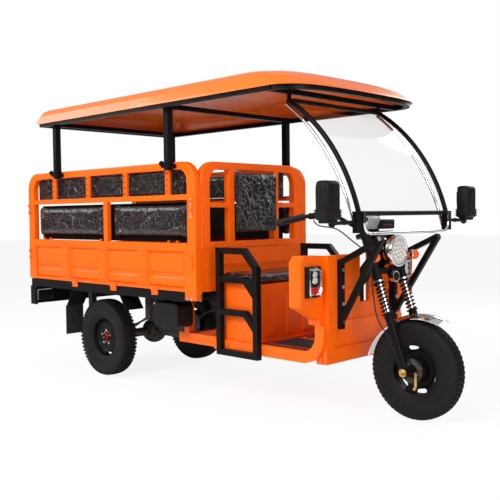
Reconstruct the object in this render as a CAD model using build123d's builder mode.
from build123d import *
import math
import os

# Electric tricycle: one front wheel, two rear wheels, a passenger bed under a canopy
# Millimetres, +X forward, +Y to the rider's left, +Z up, wheels standing on Z = 0
# The origin is under the middle of the overall length, on the centre plane

# Driving dimensions of the whole vehicle
overall_length = 3310
wheelbase = 2193
rear_track = 804
front_tyre_r = 264
rear_tyre_r = 260
rim_r = 158
rear_tyre_w = 110
front_tyre_w = 99

# Driving dimensions of the bed
bed_length = 1875
bed_width = 998
bed_bottom_z = 632
panel_top_z = 887
low_rail_z = 904
mid_rail_z = 1193
rack_top_z = 1403
rail = 45
wall = 30
floor_t = 4
beam_drop = 60
post_w = 100
post_drop = 48
rack_corner_r = 120

# Driving dimensions of the cab
floor_half_w = 365
floor_bottom_z = 290
floor_rail_h = 62
shield_setback = 333
shield_top_z = 866
shield_t = 26
wing_half_w = 517
wing_t = 78
wing_bottom_z = 590
seat_top_z = 748
seat_t = 62
seat_front = 350
guard_tube = 35

# Driving dimensions of the steering
rake_deg = 19.2
fork_half_w = 115
fork_offset = 32
steer_head_z = 800
steer_head_len = 130

# Driving dimensions of the canopy and windscreen
canopy_lip_z = 1739
canopy_half_w = 603
canopy_rear_setback = 316
canopy_nose_setback = 556
canopy_rise = 104
canopy_t = 5
screen_bar_setback = 333
screen_bar_z = 1085
screen_run = 454
screen_top_z = 1686
screen_bow = 73
screen_half_w = 412
screen_tube_r = 13
seat_gap = 0.4
edge_r = 7

# Places worked out from the driving dimensions
front_x = overall_length / 2
front_axle_x = front_x - front_tyre_r
rear_axle_x = front_axle_x - wheelbase
bed_rear_x = -overall_length / 2
bed_front_x = bed_rear_x + bed_length
bed_y = bed_width / 2
bed_mid_x = (bed_rear_x + bed_front_x) / 2
floor_top_z = floor_bottom_z + floor_rail_h
shield_x = front_axle_x - shield_setback
wing_x = shield_x - 24
canopy_rear_x = bed_rear_x + canopy_rear_setback
canopy_nose_x = front_x - canopy_nose_setback
screen_bar_x = front_x - screen_bar_setback
screen_top_x = screen_bar_x - screen_run
slope = math.tan(math.radians(rake_deg))
sides = {"right": -1, "left": 1}

os.makedirs("parts", exist_ok=True)


def save(builder, label):
    builder.part.label = label
    export_step(builder.part, f"parts/{label}.step")


def box(x0, x1, y0, y1, z0, z1, mode=Mode.ADD):
    """Straight bar or plate given by its two opposite corners."""
    with Locations(((x0 + x1) / 2, (y0 + y1) / 2, (z0 + z1) / 2)):
        Box(abs(x1 - x0), abs(y1 - y0), abs(z1 - z0), mode=mode)


def beam(start, end, width, depth, across=(0, 1, 0)):
    """Sloping rectangular tube from one point to another, its width along across."""
    a = Vector(*start)
    b = Vector(*end)
    plane = Plane(origin=a, x_dir=Vector(*across), z_dir=(b - a).normalized())
    with BuildSketch(plane) as profile:
        Rectangle(width, depth)
    extrude(profile.sketch, amount=(b - a).length)


def rod(start, end, radius, mode=Mode.ADD):
    """Round bar from one point to another."""
    a = Vector(*start)
    b = Vector(*end)
    with BuildSketch(Plane(origin=a, z_dir=(b - a).normalized())) as profile:
        Circle(radius)
    extrude(profile.sketch, amount=(b - a).length, mode=mode)


def bent_tube(points, radii, radius):
    """Round tube along straight runs joined by tangent arcs."""
    with BuildLine() as path:
        FilletPolyline(*points, radius=radii)
    with BuildSketch(Plane(origin=path.line @ 0, z_dir=path.line % 0)) as profile:
        Circle(radius)
    sweep(profile.sketch, path=path.line)


def steer(forward, side, height):
    """Point in the steering frame: forward of and beside the raked axis, at a ground height."""
    axis_x = front_axle_x - fork_offset / math.cos(math.radians(rake_deg))
    base_x = axis_x - (height - front_tyre_r) * slope
    return (base_x + forward, side, height)


# Tailgate hinge line, shared by the gate and the lugs on the subframe
gate_pin_r = 8
gate_axis_x = bed_rear_x + gate_pin_r
gate_axis_z = bed_bottom_z - floor_t
gate_knuckle = 60
gate_hinge_ys = (-320, 0, 320)

# Chassis rails: low beside the cab, kicked up to run under the bed
rail_y = 300
rail_w = 50
upper_rail_z = bed_bottom_z - floor_t - beam_drop
kick_x = rear_axle_x + 720
cab_rear_x = bed_front_x + 2
tail_x = bed_rear_x + 18
with BuildPart() as chassis_frame:
    for side in (-1, 1):
        y0 = side * (rail_y - rail_w / 2)
        y1 = side * (rail_y + rail_w / 2)
        box(kick_x - 60, cab_rear_x, y0, y1, floor_bottom_z, floor_bottom_z + floor_rail_h)
        box(kick_x - 10, kick_x + 30, y0, y1, floor_bottom_z + 20, upper_rail_z)
    for x in (kick_x - 30, bed_front_x - 60):
        box(x, x + 40, -rail_y, rail_y, floor_bottom_z + 12, floor_bottom_z + 52)
save(chassis_frame, "chassis_frame")

# Black subframe: two long members, cross members and the side beams that the panels stand on
with BuildPart() as bed_subframe:
    for side in (-1, 1):
        box(tail_x, bed_front_x - 10, side * (rail_y - 25), side * (rail_y + 25), upper_rail_z, bed_bottom_z - floor_t)
        box(bed_rear_x + 20, bed_front_x - post_w, side * (bed_y - 42), side * (bed_y - 2),
            bed_bottom_z - beam_drop, bed_bottom_z - floor_t)
    for k in range(6):
        x = tail_x + k * (bed_front_x - post_w - 45 - tail_x) / 5
        box(x, x + 40, -bed_y + 10, bed_y - 10, bed_bottom_z - 44, bed_bottom_z - floor_t)
    for y in gate_hinge_ys:
        for end in (-1, 1):
            y0 = y + end * (gate_knuckle / 2 + seat_gap)
            y1 = y0 + end * 24
            rod((gate_axis_x, y0, gate_axis_z), (gate_axis_x, y1, gate_axis_z), gate_pin_r)
            box(gate_axis_x, tail_x + 2, y0, y1, gate_axis_z - gate_pin_r, gate_axis_z - 3)
save(bed_subframe, "bed_subframe")

# Bed floor sheet
with BuildPart() as bed_floor:
    box(bed_rear_x + 20, bed_front_x - post_w - 2, -bed_y + wall, bed_y - wall, bed_bottom_z - floor_t, bed_bottom_z)
save(bed_floor, "bed_floor")

# Bed side: pressed panel with hat ribs and two grooves, corner post and tubular rack in one weldment
inner_x0 = bed_rear_x + 73
inner_x1 = bed_front_x - 77
window_low_z = low_rail_z + 16
slat_w = 40
slat_pitch = 422
first_slat_x = bed_rear_x + 355
mid_post_x = bed_rear_x + 979
mid_post_w = 43
rib_xs = (bed_rear_x + 495, bed_rear_x + 946, bed_rear_x + 1377)
rib_w = 112
recess = 14
recess_x0 = bed_rear_x + 97
recess_x1 = bed_front_x - 107
rib_proud = 12

# Hinge line of the folding benches, shared by their pans and the lugs on the racks
bench_x0 = inner_x0 - 10
bench_x1 = inner_x1 - 62
bench_pin_r = 7
bench_knuckle = 60
bench_hinge_z = low_rail_z + 22
bench_hinge_y = bed_y - rail - bench_pin_r - seat_gap
bench_depth = mid_rail_z - bench_hinge_z - 8
bench_hinge_xs = [bench_x0 + 120 + k * (bench_x1 - bench_x0 - 240) / 2 for k in range(3)]


inset_x = 75


def ring(plane, across, low, high, depth, window_low):
    """Rounded tube frame lying in a plane, its lower corners square inside."""
    with BuildPart() as body:
        with BuildSketch(plane):
            RectangleRounded(across, high - low, rack_corner_r)
            with Locations((0, (low - high) / 4)):
                Rectangle(across, (high - low) / 2)
            RectangleRounded(across - 2 * inset_x, high - low - 2 * rail, rack_corner_r - rail, mode=Mode.SUBTRACT)
            span = (high - low) / 2 - (window_low - low)
            with Locations((0, -span / 2)):
                Rectangle(across - 2 * inset_x, span, mode=Mode.SUBTRACT)
        extrude(amount=-depth)
        ends = body.edges().filter_by(Plane(plane.origin, z_dir=plane.z_dir))
        fillet(ends, edge_r)
    return body


def bed_side(side):
    outer = side * bed_y
    inner = side * (bed_y - wall)
    recess_mid = (recess_x0 + recess_x1) / 2
    recess_w = recess_x1 - recess_x0
    with BuildPart() as body:
        # Pressed panel: a recessed field with two raised bands and three hat ribs
        box(bed_rear_x + 2, bed_front_x, inner, outer, bed_bottom_z, panel_top_z)
        plane = Plane(origin=(0, outer, 0), x_dir=(1, 0, 0), z_dir=(0, side, 0))
        up = side * -1
        with BuildSketch(plane):
            with Locations((recess_mid, up * (bed_bottom_z + panel_top_z + 2) / 2)):
                Rectangle(recess_w, panel_top_z - bed_bottom_z - 34)
        extrude(amount=-recess, mode=Mode.SUBTRACT)
        for z, height in ((796, 124), (684, 62)):
            with BuildSketch(plane.offset(-recess)):
                with Locations((recess_mid, up * z)):
                    Rectangle(recess_w - 4, height)
            with BuildSketch(plane.offset(-recess + 9)):
                with Locations((recess_mid, up * z)):
                    Rectangle(recess_w - 26, height - 22)
            loft()
        for x in rib_xs:
            for centre, height, base, top, proud in ((780, 226, rib_w, rib_w - 34, rib_proud), (668, 44, rib_w + 14, rib_w, 3),
                                                    (868, 40, rib_w + 8, rib_w - 6, 3)):
                with BuildSketch(plane.offset(-recess)):
                    with Locations((x, up * centre)):
                        Rectangle(base, height)
                with BuildSketch(plane.offset(proud)):
                    with Locations((x, up * centre)):
                        Rectangle(top, height - 16)
                loft()
        # Front corner post reaches below the panel
        box(bed_front_x - post_w, bed_front_x, side * (bed_y - rail), outer, bed_bottom_z - post_drop, panel_top_z)
        # Rack of square-section tube with two large round corners
        rack = Plane(origin=(bed_mid_x, outer, (panel_top_z + rack_top_z) / 2), x_dir=(side * -1, 0, 0), z_dir=(0, side, 0))
        rack_ring = ring(rack, bed_length - 2, panel_top_z, rack_top_z, rail, window_low_z)
        add(rack_ring.part)
        box(inner_x0 - 10, inner_x1 + 10, side * (bed_y - 32), outer - side * 3, mid_rail_z - 16, mid_rail_z + 16)
        box(mid_post_x - mid_post_w / 2, mid_post_x + mid_post_w / 2, side * (bed_y - 32), outer - side * 3, low_rail_z, mid_rail_z)
        for k in range(4):
            x = first_slat_x + k * slat_pitch
            box(x - slat_w / 2, x + slat_w / 2, side * (bed_y - 20), side * (bed_y - 4),
                mid_rail_z, rack_top_z - 20)
        for x in bench_hinge_xs:
            for end in (-1, 1):
                x0 = x + end * (bench_knuckle / 2 + seat_gap)
                x1 = x0 + end * 20
                rod((x0, side * bench_hinge_y, bench_hinge_z), (x1, side * bench_hinge_y, bench_hinge_z), bench_pin_r)
                box(x0, x1, side * bench_hinge_y, side * (bed_y - rail + 2), bench_hinge_z - 6, bench_hinge_z + 4)
    return body


for name, side in sides.items():
    bed_side_part = bed_side(side)
    save(bed_side_part, f"bed_side_{name}")

# Headboard behind the driver: round-cornered tubular frame over a pressed lower sheet
head_y = bed_y - rail - seat_gap
head_x0 = bed_front_x - 50
head_x1 = bed_front_x
pad_half_w = 195
upright_y = pad_half_w + 4
upright_w = 44
head_low_z = low_rail_z - 18
with BuildPart() as headboard:
    head_plane = Plane(origin=(head_x1, 0, (head_low_z + rack_top_z) / 2), x_dir=(0, 1, 0), z_dir=(1, 0, 0))
    head_ring = ring(head_plane, 2 * head_y, head_low_z, rack_top_z, head_x1 - head_x0, window_low_z + 6)
    add(head_ring.part)
    for side in (-1, 1):
        y = side * upright_y
        box(head_x0 + 6, head_x1, y - upright_w / 2, y + upright_w / 2, low_rail_z, rack_top_z - 20)
        box(head_x0 + 6, head_x1 - 6, y, side * (head_y - 10), 1131, 1160)
    box(head_x1 - 22, head_x1 - 4, -head_y, head_y, bed_bottom_z, low_rail_z - 18)
    box(head_x1 - 22, head_x1 + 2, -head_y + 40, head_y - 40, bed_bottom_z + 150, bed_bottom_z + 164)
save(headboard, "headboard")

# Driver's backrest on the headboard
with BuildPart() as driver_backrest:
    box(head_x1 + seat_gap, head_x1 + 34, -pad_half_w, pad_half_w, low_rail_z + 62, rack_top_z - 46)
    fillet(driver_backrest.edges().filter_by(Axis.Z) + driver_backrest.edges().filter_by(Axis.Y), 10)
save(driver_backrest, "driver_backrest")

# Padded backrests of the two passenger benches, one behind each upper window
with BuildPart() as back_pads:
    for side in (-1, 1):
        y0 = side * (bed_y - rail - seat_gap)
        y1 = side * (bed_y - rail - 55)
        box(inner_x0 - 20, inner_x1 - 62, y0, y1, mid_rail_z + 4, rack_top_z - 24)
save(back_pads, "back_pads")

# Folding bench: steel pan and cushion, standing folded up behind the lower windows
cushion_out_y = bed_y - 25
cushion_t = 58
cushion_top_z = mid_rail_z - 27
cushion_spans = ((inner_x0 + 10, mid_post_x - mid_post_w / 2 - 10), (mid_post_x + mid_post_w / 2 + 10, inner_x1 - 10))
for name, side in sides.items():
    with BuildPart() as bench_pan:
        y0 = side * (cushion_out_y - cushion_t)
        y1 = side * (cushion_out_y - cushion_t - 20)
        box(bench_x0, bench_x1, y0, y1, bench_hinge_z - 4, cushion_top_z)
        for x in bench_hinge_xs:
            x0 = x - bench_knuckle / 2
            x1 = x + bench_knuckle / 2
            box(x0, x1, side * (bench_hinge_y - 6), y0, bench_hinge_z - 5, bench_hinge_z + 1)
            rod((x0, side * bench_hinge_y, bench_hinge_z), (x1, side * bench_hinge_y, bench_hinge_z), bench_pin_r)
    save(bench_pan, f"bench_pan_{name}")
    with BuildPart() as bench_cushion:
        for x0, x1 in cushion_spans:
            box(x0, x1, side * cushion_out_y, y0 + side * seat_gap, bench_hinge_z + 14, cushion_top_z)
        fillet(bench_cushion.edges().filter_by(Axis.Y), 24)
        fillet(bench_cushion.faces().sort_by(Axis.Y)[-1 if side > 0 else 0].edges(), 12)
    save(bench_cushion, f"bench_cushion_{name}")

# Tailgate, hinged along its lower edge
gate_t = 12
gate_half_w = bed_y - wall - 6
with BuildPart() as tailgate:
    box(bed_rear_x, bed_rear_x + gate_t, -gate_half_w, gate_half_w, bed_bottom_z + 6, panel_top_z - 6)
    for y in gate_hinge_ys:
        y0 = y - gate_knuckle / 2
        y1 = y + gate_knuckle / 2
        rod((gate_axis_x, y0, gate_axis_z), (gate_axis_x, y1, gate_axis_z), gate_pin_r)
        box(bed_rear_x, bed_rear_x + gate_t, y0, y1, gate_axis_z, bed_bottom_z + 8)
save(tailgate, "tailgate")

# Rear bumper panel with its two side returns
bumper_t = 4
bumper_low_z = 434
plate_spacing = 140
plate_hole_r = 3.5
plate_z = 520
tail_lamp_y = 380
tail_lamp_w = 120
tail_lamp_h = 74
tail_lamp_z = 498
with BuildPart() as rear_bumper:
    box(bed_rear_x + 2, bed_rear_x + 2 + bumper_t, -bed_y + 6, bed_y - 6, bumper_low_z, bed_bottom_z - beam_drop)
    for side in (-1, 1):
        y0 = side * (bed_y - 7)
        y1 = side * (bed_y - 2)
        box(bed_rear_x + 2, bed_rear_x + 92, y0, y1, bumper_low_z, bed_bottom_z - beam_drop)
        box(bed_rear_x + 60, bed_rear_x + 72, y0, side * (bed_y + 3), bumper_low_z + 8, bed_bottom_z - beam_drop - 6)
        for k in range(5):
            z = bumper_low_z + 16 + k * 26
            box(bed_rear_x + 12, bed_rear_x + 66, y0, side * (bed_y + 2), z, z + 9)
    for y in (-plate_spacing / 2, plate_spacing / 2):
        rod((bed_rear_x, y, plate_z), (bed_rear_x + 20, y, plate_z), plate_hole_r, mode=Mode.SUBTRACT)
    for side in (-1, 1):
        with Locations((bed_rear_x + 4, side * tail_lamp_y, tail_lamp_z)):
            Box(20, tail_lamp_w + 2 * seat_gap, tail_lamp_h + 2 * seat_gap, mode=Mode.SUBTRACT)
save(rear_bumper, "rear_bumper")

with BuildPart() as tail_lamps:
    for side in (-1, 1):
        with Locations((bed_rear_x + 17, side * tail_lamp_y, tail_lamp_z)):
            Box(30, tail_lamp_w, tail_lamp_h)
save(tail_lamps, "tail_lamps")

# Drop-side hinge tabs across the joint of the panel and the beam under it
with BuildPart() as hinge_tabs:
    for side in (-1, 1):
        y0 = side * (bed_y + seat_gap)
        y1 = side * (bed_y + 7)
        for rib_x in rib_xs:
            x = rib_x + 118
            box(x - 30, x + 30, y0, y1, bed_bottom_z - 34, bed_bottom_z + 22)
            rod((x - 30, side * (bed_y + 7), bed_bottom_z - 4), (x + 30, side * (bed_y + 7), bed_bottom_z - 4), 6)
save(hinge_tabs, "hinge_tabs")

# Charger box hung under the bed by two straps, on the right behind the corner post
charger_x = bed_front_x - 335
charger_y = -398
charger_top_z = bed_bottom_z - beam_drop - 22
with BuildPart() as charger_box:
    with Locations((charger_x, charger_y, charger_top_z - 78)):
        Box(230, 128, 156)
    fillet(charger_box.edges().filter_by(Axis.Y), 34)
    fillet(charger_box.faces().sort_by(Axis.Y)[0].edges(), 10)
    for x in (charger_x - 60, charger_x + 60):
        box(x - 15, x + 15, charger_y - 40, charger_y + 40, charger_top_z - 2, bed_bottom_z - beam_drop - seat_gap)
save(charger_box, "charger_box")

# Rear mudguards: slanted ends and a flat top under the bed, and a rubber flap behind
arch_top_z = bed_bottom_z - beam_drop
arch_low_z = 455
with BuildPart() as rear_mudguards:
    for side in (-1, 1):
        with BuildSketch(Plane.XZ.offset(-side * (bed_y - 150))):
            with BuildLine():
                Polyline((rear_axle_x - 375, arch_low_z), (rear_axle_x - 300, arch_top_z),
                         (rear_axle_x + 260, arch_top_z), (rear_axle_x + 330, arch_low_z + 20),
                         (rear_axle_x + 322, arch_low_z + 20), (rear_axle_x + 256, arch_top_z - 5),
                         (rear_axle_x - 296, arch_top_z - 5), (rear_axle_x - 370, arch_low_z),
                         close=True)
            make_face()
        extrude(amount=-side * 140)
save(rear_mudguards, "rear_mudguards")

with BuildPart() as mud_flaps:
    for side in (-1, 1):
        x = rear_axle_x - 372
        box(x - 8, x, side * (bed_y - 5), side * (bed_y - 145), 250, arch_low_z)
save(mud_flaps, "mud_flaps")

# Leaf springs: arched packs between hangers under the long members
spring_half = 330
spring_y = rail_y
spring_low_z = 298
with BuildPart() as leaf_springs:
    for side in (-1, 1):
        with BuildSketch(Plane.XZ.offset(-side * (spring_y - 25))):
            with BuildLine():
                ThreePointArc((rear_axle_x - spring_half, 420), (rear_axle_x, 330), (rear_axle_x + spring_half, 420))
                Line((rear_axle_x + spring_half, 420), (rear_axle_x + spring_half, 408))
                Line((rear_axle_x + spring_half, 408), (rear_axle_x + 200, 360))
                ThreePointArc((rear_axle_x + 200, 360), (rear_axle_x, spring_low_z), (rear_axle_x - 200, 360))
                Line((rear_axle_x - 200, 360), (rear_axle_x - spring_half, 408))
                Line((rear_axle_x - spring_half, 408), (rear_axle_x - spring_half, 420))
            make_face()
        extrude(amount=-side * 50)
        for end in (-1, 1):
            x = rear_axle_x + end * spring_half
            box(x - 22, x + 22, side * (spring_y - 20), side * (spring_y + 20), 408, upper_rail_z)
save(leaf_springs, "leaf_springs")

# Rear axle housing with its differential and the brake backing plates
track_y = rear_track / 2
plate_y = track_y - 46
pad_half = 40
with BuildPart() as rear_axle:
    rod((rear_axle_x, -plate_y, rear_tyre_r), (rear_axle_x, plate_y, rear_tyre_r), 30)
    with Locations((rear_axle_x, 0, rear_tyre_r)):
        Sphere(88)
    box(rear_axle_x, rear_axle_x + 92, -50, 130, rear_tyre_r - 30, rear_tyre_r + 120)
    for side in (-1, 1):
        rod((rear_axle_x, side * (plate_y - 6), rear_tyre_r), (rear_axle_x, side * plate_y, rear_tyre_r), 100)
        box(rear_axle_x - pad_half, rear_axle_x + pad_half, side * (spring_y - 25), side * (spring_y + 25),
            rear_tyre_r, spring_low_z - seat_gap)
save(rear_axle, "rear_axle")

# Drive motor beside the differential, one closed cylinder
with BuildPart() as drive_motor:
    rod((rear_axle_x + 92, 40, rear_tyre_r + 60), (rear_axle_x + 340, 40, rear_tyre_r + 60), 95)
save(drive_motor, "drive_motor")


# Wheels: pressed disc rims and round-shouldered tyres turned about the axle
bead_t = 5.5
axle_r = 8
bore_gap = 0.4


def tyre(centre, outer_r, width):
    bead = width * 0.34 - bead_t
    shoulder = width * 0.26
    half = width * 0.5
    with BuildPart() as body:
        with BuildSketch(Plane(origin=centre, x_dir=(1, 0, 0), z_dir=(0, 0, 1))):
            with BuildLine():
                Polyline((rim_r + 2, bead), (rim_r + 2, -bead), (rim_r + 9, -bead), (rim_r + 16, -half * 0.84))
                ThreePointArc((rim_r + 16, -half * 0.84), (outer_r - 52, -half), (outer_r - 22, -half * 0.94))
                ThreePointArc((outer_r - 22, -half * 0.94), (outer_r - 7, -half * 0.8), (outer_r, -shoulder))
                Line((outer_r, -shoulder), (outer_r, shoulder))
                ThreePointArc((outer_r, shoulder), (outer_r - 7, half * 0.8), (outer_r - 22, half * 0.94))
                ThreePointArc((outer_r - 22, half * 0.94), (outer_r - 52, half), (rim_r + 16, half * 0.84))
                Polyline((rim_r + 16, half * 0.84), (rim_r + 9, bead), (rim_r + 2, bead))
            make_face()
        revolve(axis=Axis(centre, (0, 1, 0)))
    return body


def rim(centre, width, face, vents, drum, cap):
    """Disc rim: the disc's hollow faces outwards on the side given by face."""
    h = width * 0.34
    x, y, z = centre
    with BuildPart() as body:
        with BuildSketch(Plane(origin=centre, x_dir=(1, 0, 0), z_dir=(0, 0, 1))):
            with BuildLine():
                Polyline((rim_r + 8, face * h), (rim_r + 8, face * (h - 5)), (rim_r + 1.6, face * (h - 5)),
                         (rim_r + 1.6, face * (5 - h)), (rim_r + 8, face * (5 - h)), (rim_r + 8, -face * h),
                         (rim_r - 12, -face * h), (rim_r - 20, face * 2), (104, face * 12), (94, face * 4),
                         (20, face * 4), (20, face * 10), (90, face * 10), (100, face * 18),
                         (rim_r - 22, face * 10), (rim_r - 10, face * h), close=True)
            make_face()
        revolve(axis=Axis(centre, (0, 1, 0)))
        with BuildSketch(Plane(origin=(x, y - 60, z), x_dir=(1, 0, 0), z_dir=(0, 1, 0))):
            with PolarLocations(118, vents, start_angle=18):
                SlotCenterToCenter(34, 27, rotation=90)
        extrude(amount=120, mode=Mode.SUBTRACT)
        rod((x, y + drum[1], z), (x, y + drum[2], z), drum[0])
        rod((x, y + cap[1], z), (x, y + cap[2], z), cap[0])
    return body


rear_drum_r = 100
drum_in = track_y - 356.4
for name, side in sides.items():
    centre = (rear_axle_x, side * track_y, rear_tyre_r)
    rear_tyre_part = tyre(centre, rear_tyre_r, rear_tyre_w)
    save(rear_tyre_part, f"rear_tyre_{name}")
    rear_rim_part = rim(centre, rear_tyre_w, side, 6, (92, -side * drum_in, side * 5), (24, side * 4, side * 38))
    save(rear_rim_part, f"rear_rim_{name}")

front_centre = (front_axle_x, 0, front_tyre_r)
front_tyre_part = tyre(front_centre, front_tyre_r, front_tyre_w)
save(front_tyre_part, "front_tyre")
front_rim_part = rim(front_centre, front_tyre_w, 1, 6, (68, -44, 5), (30, -62, 62))
with BuildPart() as front_rim:
    add(front_rim_part.part)
    rod((front_axle_x, -80, front_tyre_r), (front_axle_x, 80, front_tyre_r), axle_r + bore_gap, mode=Mode.SUBTRACT)
save(front_rim, "front_rim")

# Cab floor: two side rails with a quarter-round front corner, closed by a floor sheet
column_w = 58
column_x = shield_x - shield_t - column_w
corner_r = 150
column_top_z = wing_bottom_z - 90
sheet_t = 4
with BuildPart() as cab_floor:
    for side in (-1, 1):
        y0 = side * (floor_half_w - 26)
        with BuildSketch(Plane.XZ.offset(-y0)):
            with BuildLine():
                Line((cab_rear_x, floor_bottom_z), (shield_x - corner_r, floor_bottom_z))
                RadiusArc((shield_x - corner_r, floor_bottom_z), (shield_x, floor_bottom_z + corner_r), -corner_r)
                Polyline((shield_x, floor_bottom_z + corner_r), (shield_x, column_top_z),
                         (shield_x - column_w, column_top_z), (shield_x - column_w, floor_bottom_z + corner_r))
                RadiusArc((shield_x - column_w, floor_bottom_z + corner_r),
                          (shield_x - corner_r, floor_bottom_z + floor_rail_h), corner_r - floor_rail_h)
                Polyline((shield_x - corner_r, floor_bottom_z + floor_rail_h),
                         (cab_rear_x, floor_bottom_z + floor_rail_h), (cab_rear_x, floor_bottom_z))
            make_face()
        extrude(amount=-side * 26)
    inner_w = floor_half_w - 26
    box(cab_rear_x, shield_x - shield_t, -inner_w, inner_w, floor_top_z - 10, floor_top_z - 10 + sheet_t)
    for x in (cab_rear_x, cab_rear_x + 380, shield_x - shield_t - 44):
        box(x, x + 40, -inner_w, inner_w, floor_bottom_z, floor_top_z - 10)
save(cab_floor, "cab_floor")

# Leg shield: pressed front sheet, side wings that hold the lamps, a raised post at each side
shield_half_w = floor_half_w - 26 - seat_gap
post_y = 312
notch_half_w = 44
notch_z = 600
with BuildPart() as leg_shield:
    box(shield_x - shield_t, shield_x, -shield_half_w, shield_half_w, floor_bottom_z + 2, shield_top_z)
    for z in (688, 640, 520, 380):
        box(shield_x - 8, shield_x, -shield_half_w + 60, shield_half_w - 60, z - 8, z + 8, mode=Mode.SUBTRACT)
    for side in (-1, 1):
        # Wing with its outer lower corner cut away
        with BuildSketch(Plane.YZ.offset(wing_x - wing_t)):
            with BuildLine():
                Polyline((side * (shield_half_w - 10), column_top_z), (side * (shield_half_w - 10), shield_top_z),
                         (side * (wing_half_w - 30), shield_top_z + 4), (side * wing_half_w, shield_top_z - 30),
                         (side * wing_half_w, wing_bottom_z + 16), (side * (wing_half_w - 34), wing_bottom_z),
                         (side * floor_half_w, wing_bottom_z - 60), (side * floor_half_w, column_top_z), close=True)
            make_face()
        extrude(amount=wing_t)
        box(shield_x - shield_t, shield_x + 12, side * (post_y - 50), side * (post_y + 26), 470, shield_top_z)
    box(shield_x - shield_t - 1, shield_x + 1, -notch_half_w, notch_half_w, notch_z, shield_top_z + 1, mode=Mode.SUBTRACT)
save(leg_shield, "leg_shield")

# Front frame: down tube behind the shield, arm through its notch and the head tube
head_r = 30
head_bottom = steer(0, 0, steer_head_z)
head_top = steer(0, 0, steer_head_z + steer_head_len)
tube_x = shield_x - shield_t - 32
stem_r = 15
with BuildPart() as front_frame:
    box(tube_x - 28, tube_x + 30, -30, 30, floor_top_z - 6, 700)
    beam((tube_x, 0, 690), (head_bottom[0] - 24, 0, steer_head_z + 62), 56, 56)
    rod(head_bottom, head_top, head_r)
    rod(steer(0, 0, steer_head_z - 20), steer(0, 0, steer_head_z + steer_head_len + 20), stem_r + bore_gap,
        mode=Mode.SUBTRACT)
save(front_frame, "front_frame")

# Black tube brackets from the shield posts up to the windscreen bar
apex = (screen_bar_x + 36, 268, 958)
bracket_y = 247
bracket_w = 28
bracket_x = shield_x + 12 + bracket_w / 2
with BuildPart() as screen_brackets:
    for side in (-1, 1):
        y = side * bracket_y
        tip = (apex[0], side * apex[1], apex[2])
        box(shield_x + seat_gap, shield_x + 12 + bracket_w, y - bracket_w / 2, y + bracket_w / 2, 476, 842)
        beam((bracket_x, y, 828), tip, bracket_w, bracket_w)
        beam((bracket_x + 4, y, 520), tip, bracket_w, bracket_w)
save(screen_brackets, "screen_brackets")

# Windscreen: black tube frame bowed forwards, a chrome guard and the clear sheet
screen_len = math.hypot(screen_run, screen_top_z - screen_bar_z)
arc_mid = (screen_bar_x - screen_run / 2 + screen_bow * (screen_top_z - screen_bar_z) / screen_len,
           (screen_bar_z + screen_top_z) / 2 + screen_bow * screen_run / screen_len)
with BuildPart() as windscreen_frame:
    for side in (-1, 1):
        with BuildLine(Plane.XZ.offset(-side * screen_half_w)) as bow:
            ThreePointArc((screen_bar_x, screen_bar_z), arc_mid, (screen_top_x, screen_top_z))
        with BuildSketch(Plane(origin=bow.line @ 0, z_dir=bow.line % 0)):
            Circle(screen_tube_r)
        sweep(path=bow.line)
        rod((screen_top_x, side * (screen_half_w - 8), screen_top_z), (screen_top_x, side * (screen_half_w - 8), canopy_lip_z - 22),
            11)
        box(screen_bar_x - 14, screen_bar_x + 14, side * (screen_half_w - 24), side * (screen_half_w + 34),
            screen_bar_z - 96, screen_bar_z + 10)
    bar_y = screen_half_w - 2
    for x, z in ((screen_bar_x, screen_bar_z), (screen_top_x, screen_top_z)):
        rod((x, -bar_y, z), (x, bar_y, z), screen_tube_r - 0.6)
save(windscreen_frame, "windscreen_frame")

glass_t = 4
glass_lift = screen_tube_r + seat_gap
glass_half_w = screen_half_w - screen_tube_r - seat_gap
with BuildPart() as windscreen_glass:
    with BuildSketch(Plane.XZ.offset(glass_half_w)):
        with BuildLine():
            ThreePointArc((screen_bar_x, screen_bar_z + glass_lift), (arc_mid[0], arc_mid[1]), (screen_top_x + 12, screen_top_z - 8))
            Line((screen_top_x + 12, screen_top_z - 8), (screen_top_x + 10, screen_top_z - 12))
            ThreePointArc((screen_top_x + 10, screen_top_z - 12), (arc_mid[0] - 3.2, arc_mid[1] - 2.4),
                          (screen_bar_x - glass_t, screen_bar_z + glass_lift))
            Line((screen_bar_x - glass_t, screen_bar_z + glass_lift), (screen_bar_x, screen_bar_z + glass_lift))
        make_face()
    extrude(amount=-2 * glass_half_w)
save(windscreen_glass, "windscreen_glass")

chrome_r = 8
loop_z = 984
loop_x = screen_bar_x + 14 + chrome_r
with BuildPart() as chrome_guard:
    loop_y = screen_half_w - 6 - chrome_r
    bent_tube([(loop_x, -loop_y, screen_bar_z + 8), (loop_x, -loop_y, loop_z), (loop_x, loop_y, loop_z),
               (loop_x, loop_y, screen_bar_z + 8)], 55, chrome_r)
save(chrome_guard, "chrome_guard")

# Chrome rails that brace the windscreen, close behind its frame
rail_gap = screen_tube_r + chrome_r + seat_gap
with BuildPart() as side_rails:
    for side in (-1, 1):
        run = Vector(-screen_run, screen_top_z - screen_bar_z) / screen_len
        low = (screen_bar_x - 14 - chrome_r - seat_gap, screen_bar_z - 76)
        high = (screen_top_x - rail_gap * 0.6, screen_top_z - rail_gap * 0.8)
        middle = (arc_mid[0] - 44 * run.Y, arc_mid[1] + 44 * run.X)
        with BuildLine(Plane.XZ.offset(-side * screen_half_w)) as rail_line:
            ThreePointArc(low, middle, high)
        with BuildSketch(Plane(origin=rail_line.line @ 0, z_dir=rail_line.line % 0)):
            Circle(chrome_r)
        sweep(path=rail_line.line)
save(side_rails, "side_rails")

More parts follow.
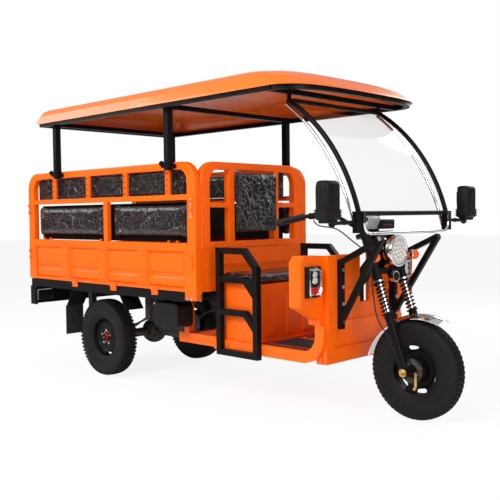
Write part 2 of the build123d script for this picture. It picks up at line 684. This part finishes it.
# Mirrors on arms from the clamp plates at the ends of the bar
mirror_x = screen_bar_x - 4
mirror_y = screen_half_w + 236
with BuildPart() as mirrors:
    for side in (-1, 1):
        rod((mirror_x, side * (screen_half_w + 34), 1044), (mirror_x, side * (mirror_y - 20), 1044), 9)
        box(mirror_x - 42, mirror_x + 42, side * (mirror_y - 58), side * (mirror_y + 60), 1034, 1240)
    fillet(mirrors.edges().filter_by(Axis.Z), 18)
save(mirrors, "mirrors")

# Canopy frame: four posts clamped to the racks, two cross rails, a perimeter and a bowed front rail
rear_post_x = bed_rear_x + 453
front_post_x = bed_front_x - 202
canopy_post_y = bed_y + 26
post_s = 40
rail_s = 28
rail_top_z = canopy_lip_z + 6
nose_gap = 3
lean = 90
nose_run = 244
# Half of the outline's curved front: how far behind the nose, and the share of the half width
nose_curve = ((0, 0), (5, 0.4), (18, 0.64), (48, 0.82), (104, 0.945), (170, 1))
# Height share and how far the wall has leaned in there
wall_curve = ((0, 0), (0.12, 0.05), (0.55, 0.3), (0.85, 0.62), (1, 1))


def roof_outline(leaned, shrink):
    """Points round the canopy's front at one level, from the right side to the left."""
    half = canopy_half_w - lean * leaned - shrink
    nose = canopy_nose_x - nose_run * leaned - shrink
    left = [(nose - back, half * share) for back, share in nose_curve]
    return [(x, -y) for x, y in left[:0:-1]] + left


def roof(shrink, drop):
    """Solid under one skin of the canopy."""
    with BuildPart() as body:
        levels = [(-drop, 0)] + list(wall_curve) if drop else wall_curve
        for rise, leaned in levels:
            points = roof_outline(leaned, shrink)
            rear = canopy_rear_x + shrink + 26 * leaned
            z = canopy_lip_z + rise if rise < 0 else canopy_lip_z + rise * (canopy_rise - shrink)
            with BuildSketch(Plane.XY.offset(z)):
                with BuildLine():
                    Spline(*points)
                    Polyline(points[-1], (rear, points[-1][1]), (rear, points[0][1]), points[0])
                make_face()
        loft(ruled=True)
    return body


rail_lean = wall_curve[1][1] / wall_curve[1][0] * (rail_top_z - canopy_lip_z) / (canopy_rise - canopy_t)
rail_out_y = canopy_half_w - lean * rail_lean - canopy_t - seat_gap
rail_y_mid = rail_out_y - rail_s / 2
side_rail_end_x = canopy_nose_x - nose_curve[-1][0] - 24
with BuildPart() as canopy_frame:
    for side in (-1, 1):
        for x in (rear_post_x, front_post_x):
            y = side * canopy_post_y
            box(x - post_s / 2, x + post_s / 2, y - post_s / 2, y + post_s / 2, rack_top_z - 50, rail_top_z - rail_s)
            box(x - 34, x + 34, side * bed_y, y, rack_top_z - 40, rack_top_z - 12)
        box(canopy_rear_x + 30, side_rail_end_x, side * (rail_y_mid - rail_s / 2), side * rail_out_y,
            rail_top_z - rail_s, rail_top_z)
    for x in (canopy_rear_x + 44, rear_post_x, front_post_x, screen_top_x):
        box(x - rail_s / 2, x + rail_s / 2, -rail_y_mid, rail_y_mid, rail_top_z - rail_s, rail_top_z)
    outside = roof_outline(rail_lean, canopy_t + nose_gap)
    inside = roof_outline(rail_lean, canopy_t + nose_gap + rail_s)
    with BuildSketch(Plane.XY.offset(rail_top_z - rail_s)):
        with BuildLine():
            Spline(*outside)
            Line(outside[-1], inside[-1])
            Spline(*inside[::-1])
            Line(inside[0], outside[0])
        make_face()
    extrude(amount=rail_s)
save(canopy_frame, "canopy_frame")

# Canopy shell: thin moulded roof, its side walls rounding in and its nose bowed forwards
with BuildPart() as canopy_shell:
    roof_skin = roof(0, 0)
    roof_hollow = roof(canopy_t, 1)
    add(roof_skin.part)
    add(roof_hollow.part, mode=Mode.SUBTRACT)
save(canopy_shell, "canopy_shell")

# Battery box under the driver's seat, with pressed ribs, and the seat cushion on it
box_x0 = bed_front_x + 26
box_x1 = bed_front_x + seat_front
box_half_w = floor_half_w - 20
with BuildPart() as battery_box:
    box(box_x0, box_x1, -box_half_w, box_half_w, floor_top_z, seat_top_z - seat_t)
    fillet(battery_box.edges().filter_by(Axis.Z), 18)
    for y in (-220, -75, 75, 220):
        box(box_x1 - 10, box_x1 + 8, y - 34, y + 34, floor_top_z + 40, floor_top_z + 250)
save(battery_box, "battery_box")

with BuildPart() as driver_seat:
    box(box_x0, box_x1 + 6, -box_half_w - 4, box_half_w + 4, seat_top_z - seat_t, seat_top_z)
    fillet(driver_seat.edges().group_by(Axis.Z)[-1], 20)
save(driver_seat, "driver_seat")

# Rubber foot mat on the cab floor
with BuildPart() as foot_mat:
    box(box_x1 + 30, shield_x - shield_t - 30, -floor_half_w + 60, -40, floor_top_z - 6, floor_top_z + 2)
    box(box_x1 + 30, shield_x - shield_t - 30, 40, floor_half_w - 60, floor_top_z - 6, floor_top_z + 2)
save(foot_mat, "foot_mat")

# Side guards beside the driver: square tube frames with a chamfered front top corner
guard_x0 = bed_front_x + 60
guard_x1 = guard_x0 + 333
guard_low_z = floor_bottom_z - 22
guard_front_z = 790
guard_top_z = 895
t = guard_tube
with BuildPart() as side_guards:
    for side in (-1, 1):
        y0 = side * floor_half_w
        y1 = side * (floor_half_w + t)
        ym = (y0 + y1) / 2
        box(guard_x0, guard_x0 + t, y0, y1, guard_low_z, guard_top_z)
        box(guard_x1 - t, guard_x1, y0, y1, guard_low_z, guard_front_z)
        box(guard_x0, guard_x1 - 100, y0, y1, guard_top_z - t, guard_top_z)
        beam((guard_x1 - 108, ym, guard_top_z - t / 2), (guard_x1 - t / 2, ym, guard_front_z - 8), t, t)
        for z in (712, 522):
            box(guard_x0, guard_x1 - 96, y0, y1, z - t / 2, z + t / 2)
            beam((guard_x1 - 102, ym, z), (guard_x1 - t / 2, ym, z - 96), t, t - 5)
        box(guard_x0, guard_x1, y0, y1, guard_low_z, guard_low_z + t)
save(side_guards, "side_guards")

# Steering: stem, two clamps, upper sleeves and lower legs on one fork
leg_r = 21
rake = math.radians(rake_deg)
signal_root = Vector(front_axle_x - 210, fork_half_w, 869)
signal_end = Vector(front_axle_x - 133, fork_half_w + 71, 857)
signal_joint = signal_root + (signal_end - signal_root) * 0.6


def leg_point(side, height):
    return steer(fork_offset / math.cos(rake), side * fork_half_w, height)


def clamp_plane(height):
    """Plane square to the steering axis."""
    return Plane(origin=steer(0, 0, height), x_dir=(0, 1, 0), z_dir=(-math.sin(rake), 0, math.cos(rake)))


clamp_low_z = 770
lamp_z = 884
lamp_front_x = front_axle_x - 111
lamp_r = 83
lamp_back_x = lamp_front_x - 88
horn_back_x = front_axle_x - 153
horn_z = 748
clamp_top_z = 962
spring_top_z = 718
spring_low_end_z = 556
with BuildPart() as fork:
    rod(steer(0, 0, clamp_low_z - 10), steer(0, 0, clamp_top_z + 8), stem_r)
    for z in (clamp_low_z, clamp_top_z):
        with BuildSketch(clamp_plane(z).offset(-11)):
            with Locations((0, -fork_offset / 2)):
                RectangleRounded(2 * fork_half_w + 56, 74, 22)
        extrude(amount=22)
    for side in (-1, 1):
        rod(leg_point(side, spring_top_z), leg_point(side, clamp_top_z), 25)
        rod(leg_point(side, spring_low_end_z), leg_point(side, spring_top_z), 15)
        rod(leg_point(side, front_tyre_r - 26), leg_point(side, spring_low_end_z), leg_r)
        root = Vector(signal_root.X, side * signal_root.Y, signal_root.Z)
        joint = Vector(signal_joint.X, side * signal_joint.Y, signal_joint.Z)
        rod(root, joint, 8)
    box(lamp_back_x - 11, lamp_back_x, -fork_half_w, fork_half_w, lamp_z - 12, lamp_z + 12)
    box(horn_back_x - 22, horn_back_x, -11, 11, horn_z - 6, horn_z + 38)
    y = fork_half_w + 18
    rod((front_axle_x, -y, front_tyre_r), (front_axle_x, y, front_tyre_r), axle_r)
save(fork, "fork")

with BuildPart() as fork_springs:
    for side in (-1, 1):
        rod(leg_point(side, spring_low_end_z + 2), leg_point(side, spring_top_z - 2), 29)
        rod(leg_point(side, spring_low_end_z), leg_point(side, spring_top_z), 15 + bore_gap, mode=Mode.SUBTRACT)
save(fork_springs, "fork_springs")

# Handlebar swept back to the rider, with grips and the instrument box
bar_r = 11
bar_pad_z = 1014
dash_x = steer(39, 0, 1028)[0]
bar_points = [steer(-177, 300, 1073), steer(-65, 195, 1075), steer(-15, 80, 998)]
grip_in = Vector(*bar_points[0])
grip_out = Vector(*steer(-318, 380, 1039))
with BuildPart() as handlebar:
    right = [(x, -y, z) for x, y, z in bar_points]
    bent_tube([(grip_out.X, -grip_out.Y, grip_out.Z)] + right + bar_points[::-1] + [tuple(grip_out)], 36, bar_r)
    with BuildSketch(clamp_plane(clamp_top_z).offset(11)):
        Rectangle(80, 44)
    extrude(amount=30)
    box(dash_x - 46, dash_x - 8, -40, 40, 986, bar_pad_z)
    inboard = (Vector(*bar_points[1]) - grip_in).normalized()
    along_grip = (grip_out - grip_in).normalized()
    ahead = Vector(along_grip.Y, -along_grip.X, 0).normalized()
    for side in (-1, 1):
        for a, b, radius in ((grip_in + inboard * 8, grip_in + inboard * 40, 17),
                             (grip_in + inboard * 24, grip_in + inboard * 24 + ahead * 40, 7),
                             (grip_in + inboard * 24 + ahead * 36, grip_in + ahead * 36 + along_grip * 130, 5)):
            rod((a.X, side * a.Y, a.Z), (b.X, side * b.Y, b.Z), radius)
save(handlebar, "handlebar")

with BuildPart() as grips:
    for side in (-1, 1):
        a = grip_in + (grip_out - grip_in) * 0.08
        b = grip_out + (grip_out - grip_in) * 0.02
        rod((a.X, side * a.Y, a.Z), (b.X, side * b.Y, b.Z), 18)
        rod((a.X, side * a.Y, a.Z), (b.X, side * b.Y, b.Z), bar_r + bore_gap, mode=Mode.SUBTRACT)
save(grips, "grips")

with BuildPart() as instrument:
    box(dash_x, dash_x + 50, -128, 128, 1002, 1054)
    box(dash_x - 30, dash_x + 10, -30, 30, bar_pad_z, bar_pad_z + 16)
save(instrument, "instrument")

# Headlamp on its bracket, turn signals on stalks, and the horn
with BuildPart() as headlight:
    with BuildSketch(Plane.XZ):
        with BuildLine():
            Polyline((lamp_back_x, lamp_z + 26), (lamp_back_x, lamp_z), (lamp_front_x, lamp_z),
                     (lamp_front_x, lamp_z + lamp_r), (lamp_front_x - 22, lamp_z + lamp_r))
            ThreePointArc((lamp_front_x - 22, lamp_z + lamp_r), (lamp_front_x - 64, lamp_z + 66), (lamp_back_x, lamp_z + 26))
        make_face()
    revolve(axis=Axis((0, 0, lamp_z), (1, 0, 0)))
save(headlight, "headlight")

with BuildPart() as turn_signals:
    for side in (-1, 1):
        end = Vector(signal_end.X, side * signal_end.Y, signal_end.Z)
        joint = Vector(signal_joint.X, side * signal_joint.Y, signal_joint.Z)
        with Locations(end):
            Sphere(26)
        rod(joint, end, 8)
save(turn_signals, "turn_signals")

with BuildPart() as horn:
    rod((horn_back_x, 0, horn_z), (horn_back_x + 26, 0, horn_z), 30)
save(horn, "horn")

# Front mudguard over the wheel, with a pointed front end
guard_r = front_tyre_r + 82
guard_tip = math.radians(69)
guard_sweep = 94
guard_half_w = 60
with BuildPart() as front_mudguard:
    guard_centre = (front_axle_x + 40, 0, front_tyre_r - 54)
    across = (math.cos(guard_tip), 0, math.sin(guard_tip))
    along = (-math.sin(guard_tip), 0, math.cos(guard_tip))
    with BuildSketch(Plane(origin=guard_centre, x_dir=across, z_dir=along)):
        with BuildLine():
            ThreePointArc((guard_r - 17, -guard_half_w), (guard_r + 4, 0), (guard_r - 17, guard_half_w))
            Line((guard_r - 17, guard_half_w), (guard_r - 20, guard_half_w - 1))
            ThreePointArc((guard_r - 20, guard_half_w - 1), (guard_r + 1, 0), (guard_r - 20, 1 - guard_half_w))
            Line((guard_r - 20, 1 - guard_half_w), (guard_r - 17, -guard_half_w))
        make_face()
    revolve(axis=Axis(guard_centre, (0, -1, 0)), revolution_arc=guard_sweep)
    for side in (-1, 1):
        stay_x, stay_y, stay_z = leg_point(side, 520)
        box(stay_x - 14, stay_x + 14, side * 40, side * (fork_half_w - leg_r - seat_gap), 512, 518)
save(front_mudguard, "front_mudguard")

# Side lamps in the wings
with BuildPart() as side_lamps:
    for side in (-1, 1):
        box(wing_x, wing_x + 14, side * 372, side * 486, 655, 815)
save(side_lamps, "side_lamps")

# Front drum brake: backing plate held by the right leg, its arm, and the cable down to it
brake_y = -50
brake_t = 9
brake_stop_y = -fork_half_w + leg_r + seat_gap
arm_x = front_axle_x + 44
arm_end_x = arm_x - 8
arm_y = brake_y - brake_t - 12
arm_end_z = front_tyre_r - 88
block_x = front_axle_x - 50
block_top_z = front_tyre_r + 12
with BuildPart() as front_brake:
    rod((front_axle_x, brake_y - brake_t, front_tyre_r), (front_axle_x, brake_y, front_tyre_r), 64)
    rod((front_axle_x, brake_y - 20, front_tyre_r), (front_axle_x, brake_y + 1, front_tyre_r), 36, mode=Mode.SUBTRACT)
    stop_x = leg_point(-1, front_tyre_r + 46)[0]
    box(stop_x - 10, stop_x + 10, brake_stop_y, brake_y - 2, front_tyre_r + 38, front_tyre_r + 54)
    rod((arm_x, brake_y - 4, front_tyre_r - 14), (arm_x, arm_y - 5, front_tyre_r - 14), 9)
    beam((arm_x, arm_y, front_tyre_r - 10), (arm_end_x, arm_y, arm_end_z), 12, 6)
    box(block_x - 8, block_x + 8, arm_y - 8, brake_y - 2, block_top_z - 16, block_top_z)
    rod((block_x, arm_y, block_top_z - 8), (arm_end_x, arm_y, arm_end_z + 6), 1.8)
save(front_brake, "front_brake")

cable_r = 3.5
cable_top = grip_in + inboard * 24
cable_points = [(cable_top.X + 14, -cable_top.Y, cable_top.Z - 17 - cable_r - seat_gap), steer(-66, -246, 1010),
                steer(-6, -196, 945), steer(38, -152, 868), steer(32, -157, 760), steer(-8, -149, 620),
                steer(-22, -132, 500), steer(0, -104, 390), (block_x - 22, -84, block_top_z + 54),
                (block_x, arm_y, block_top_z + 1.2)]
with BuildPart() as brake_cable:
    with BuildLine() as cable_line:
        Spline(*cable_points, tangents=((0.3, 0.1, -1), (0, 0, -1)))
    with BuildSketch(Plane(origin=cable_line.line @ 0, z_dir=cable_line.line % 0)):
        Circle(cable_r)
    sweep(path=cable_line.line)
save(brake_cable, "brake_cable")
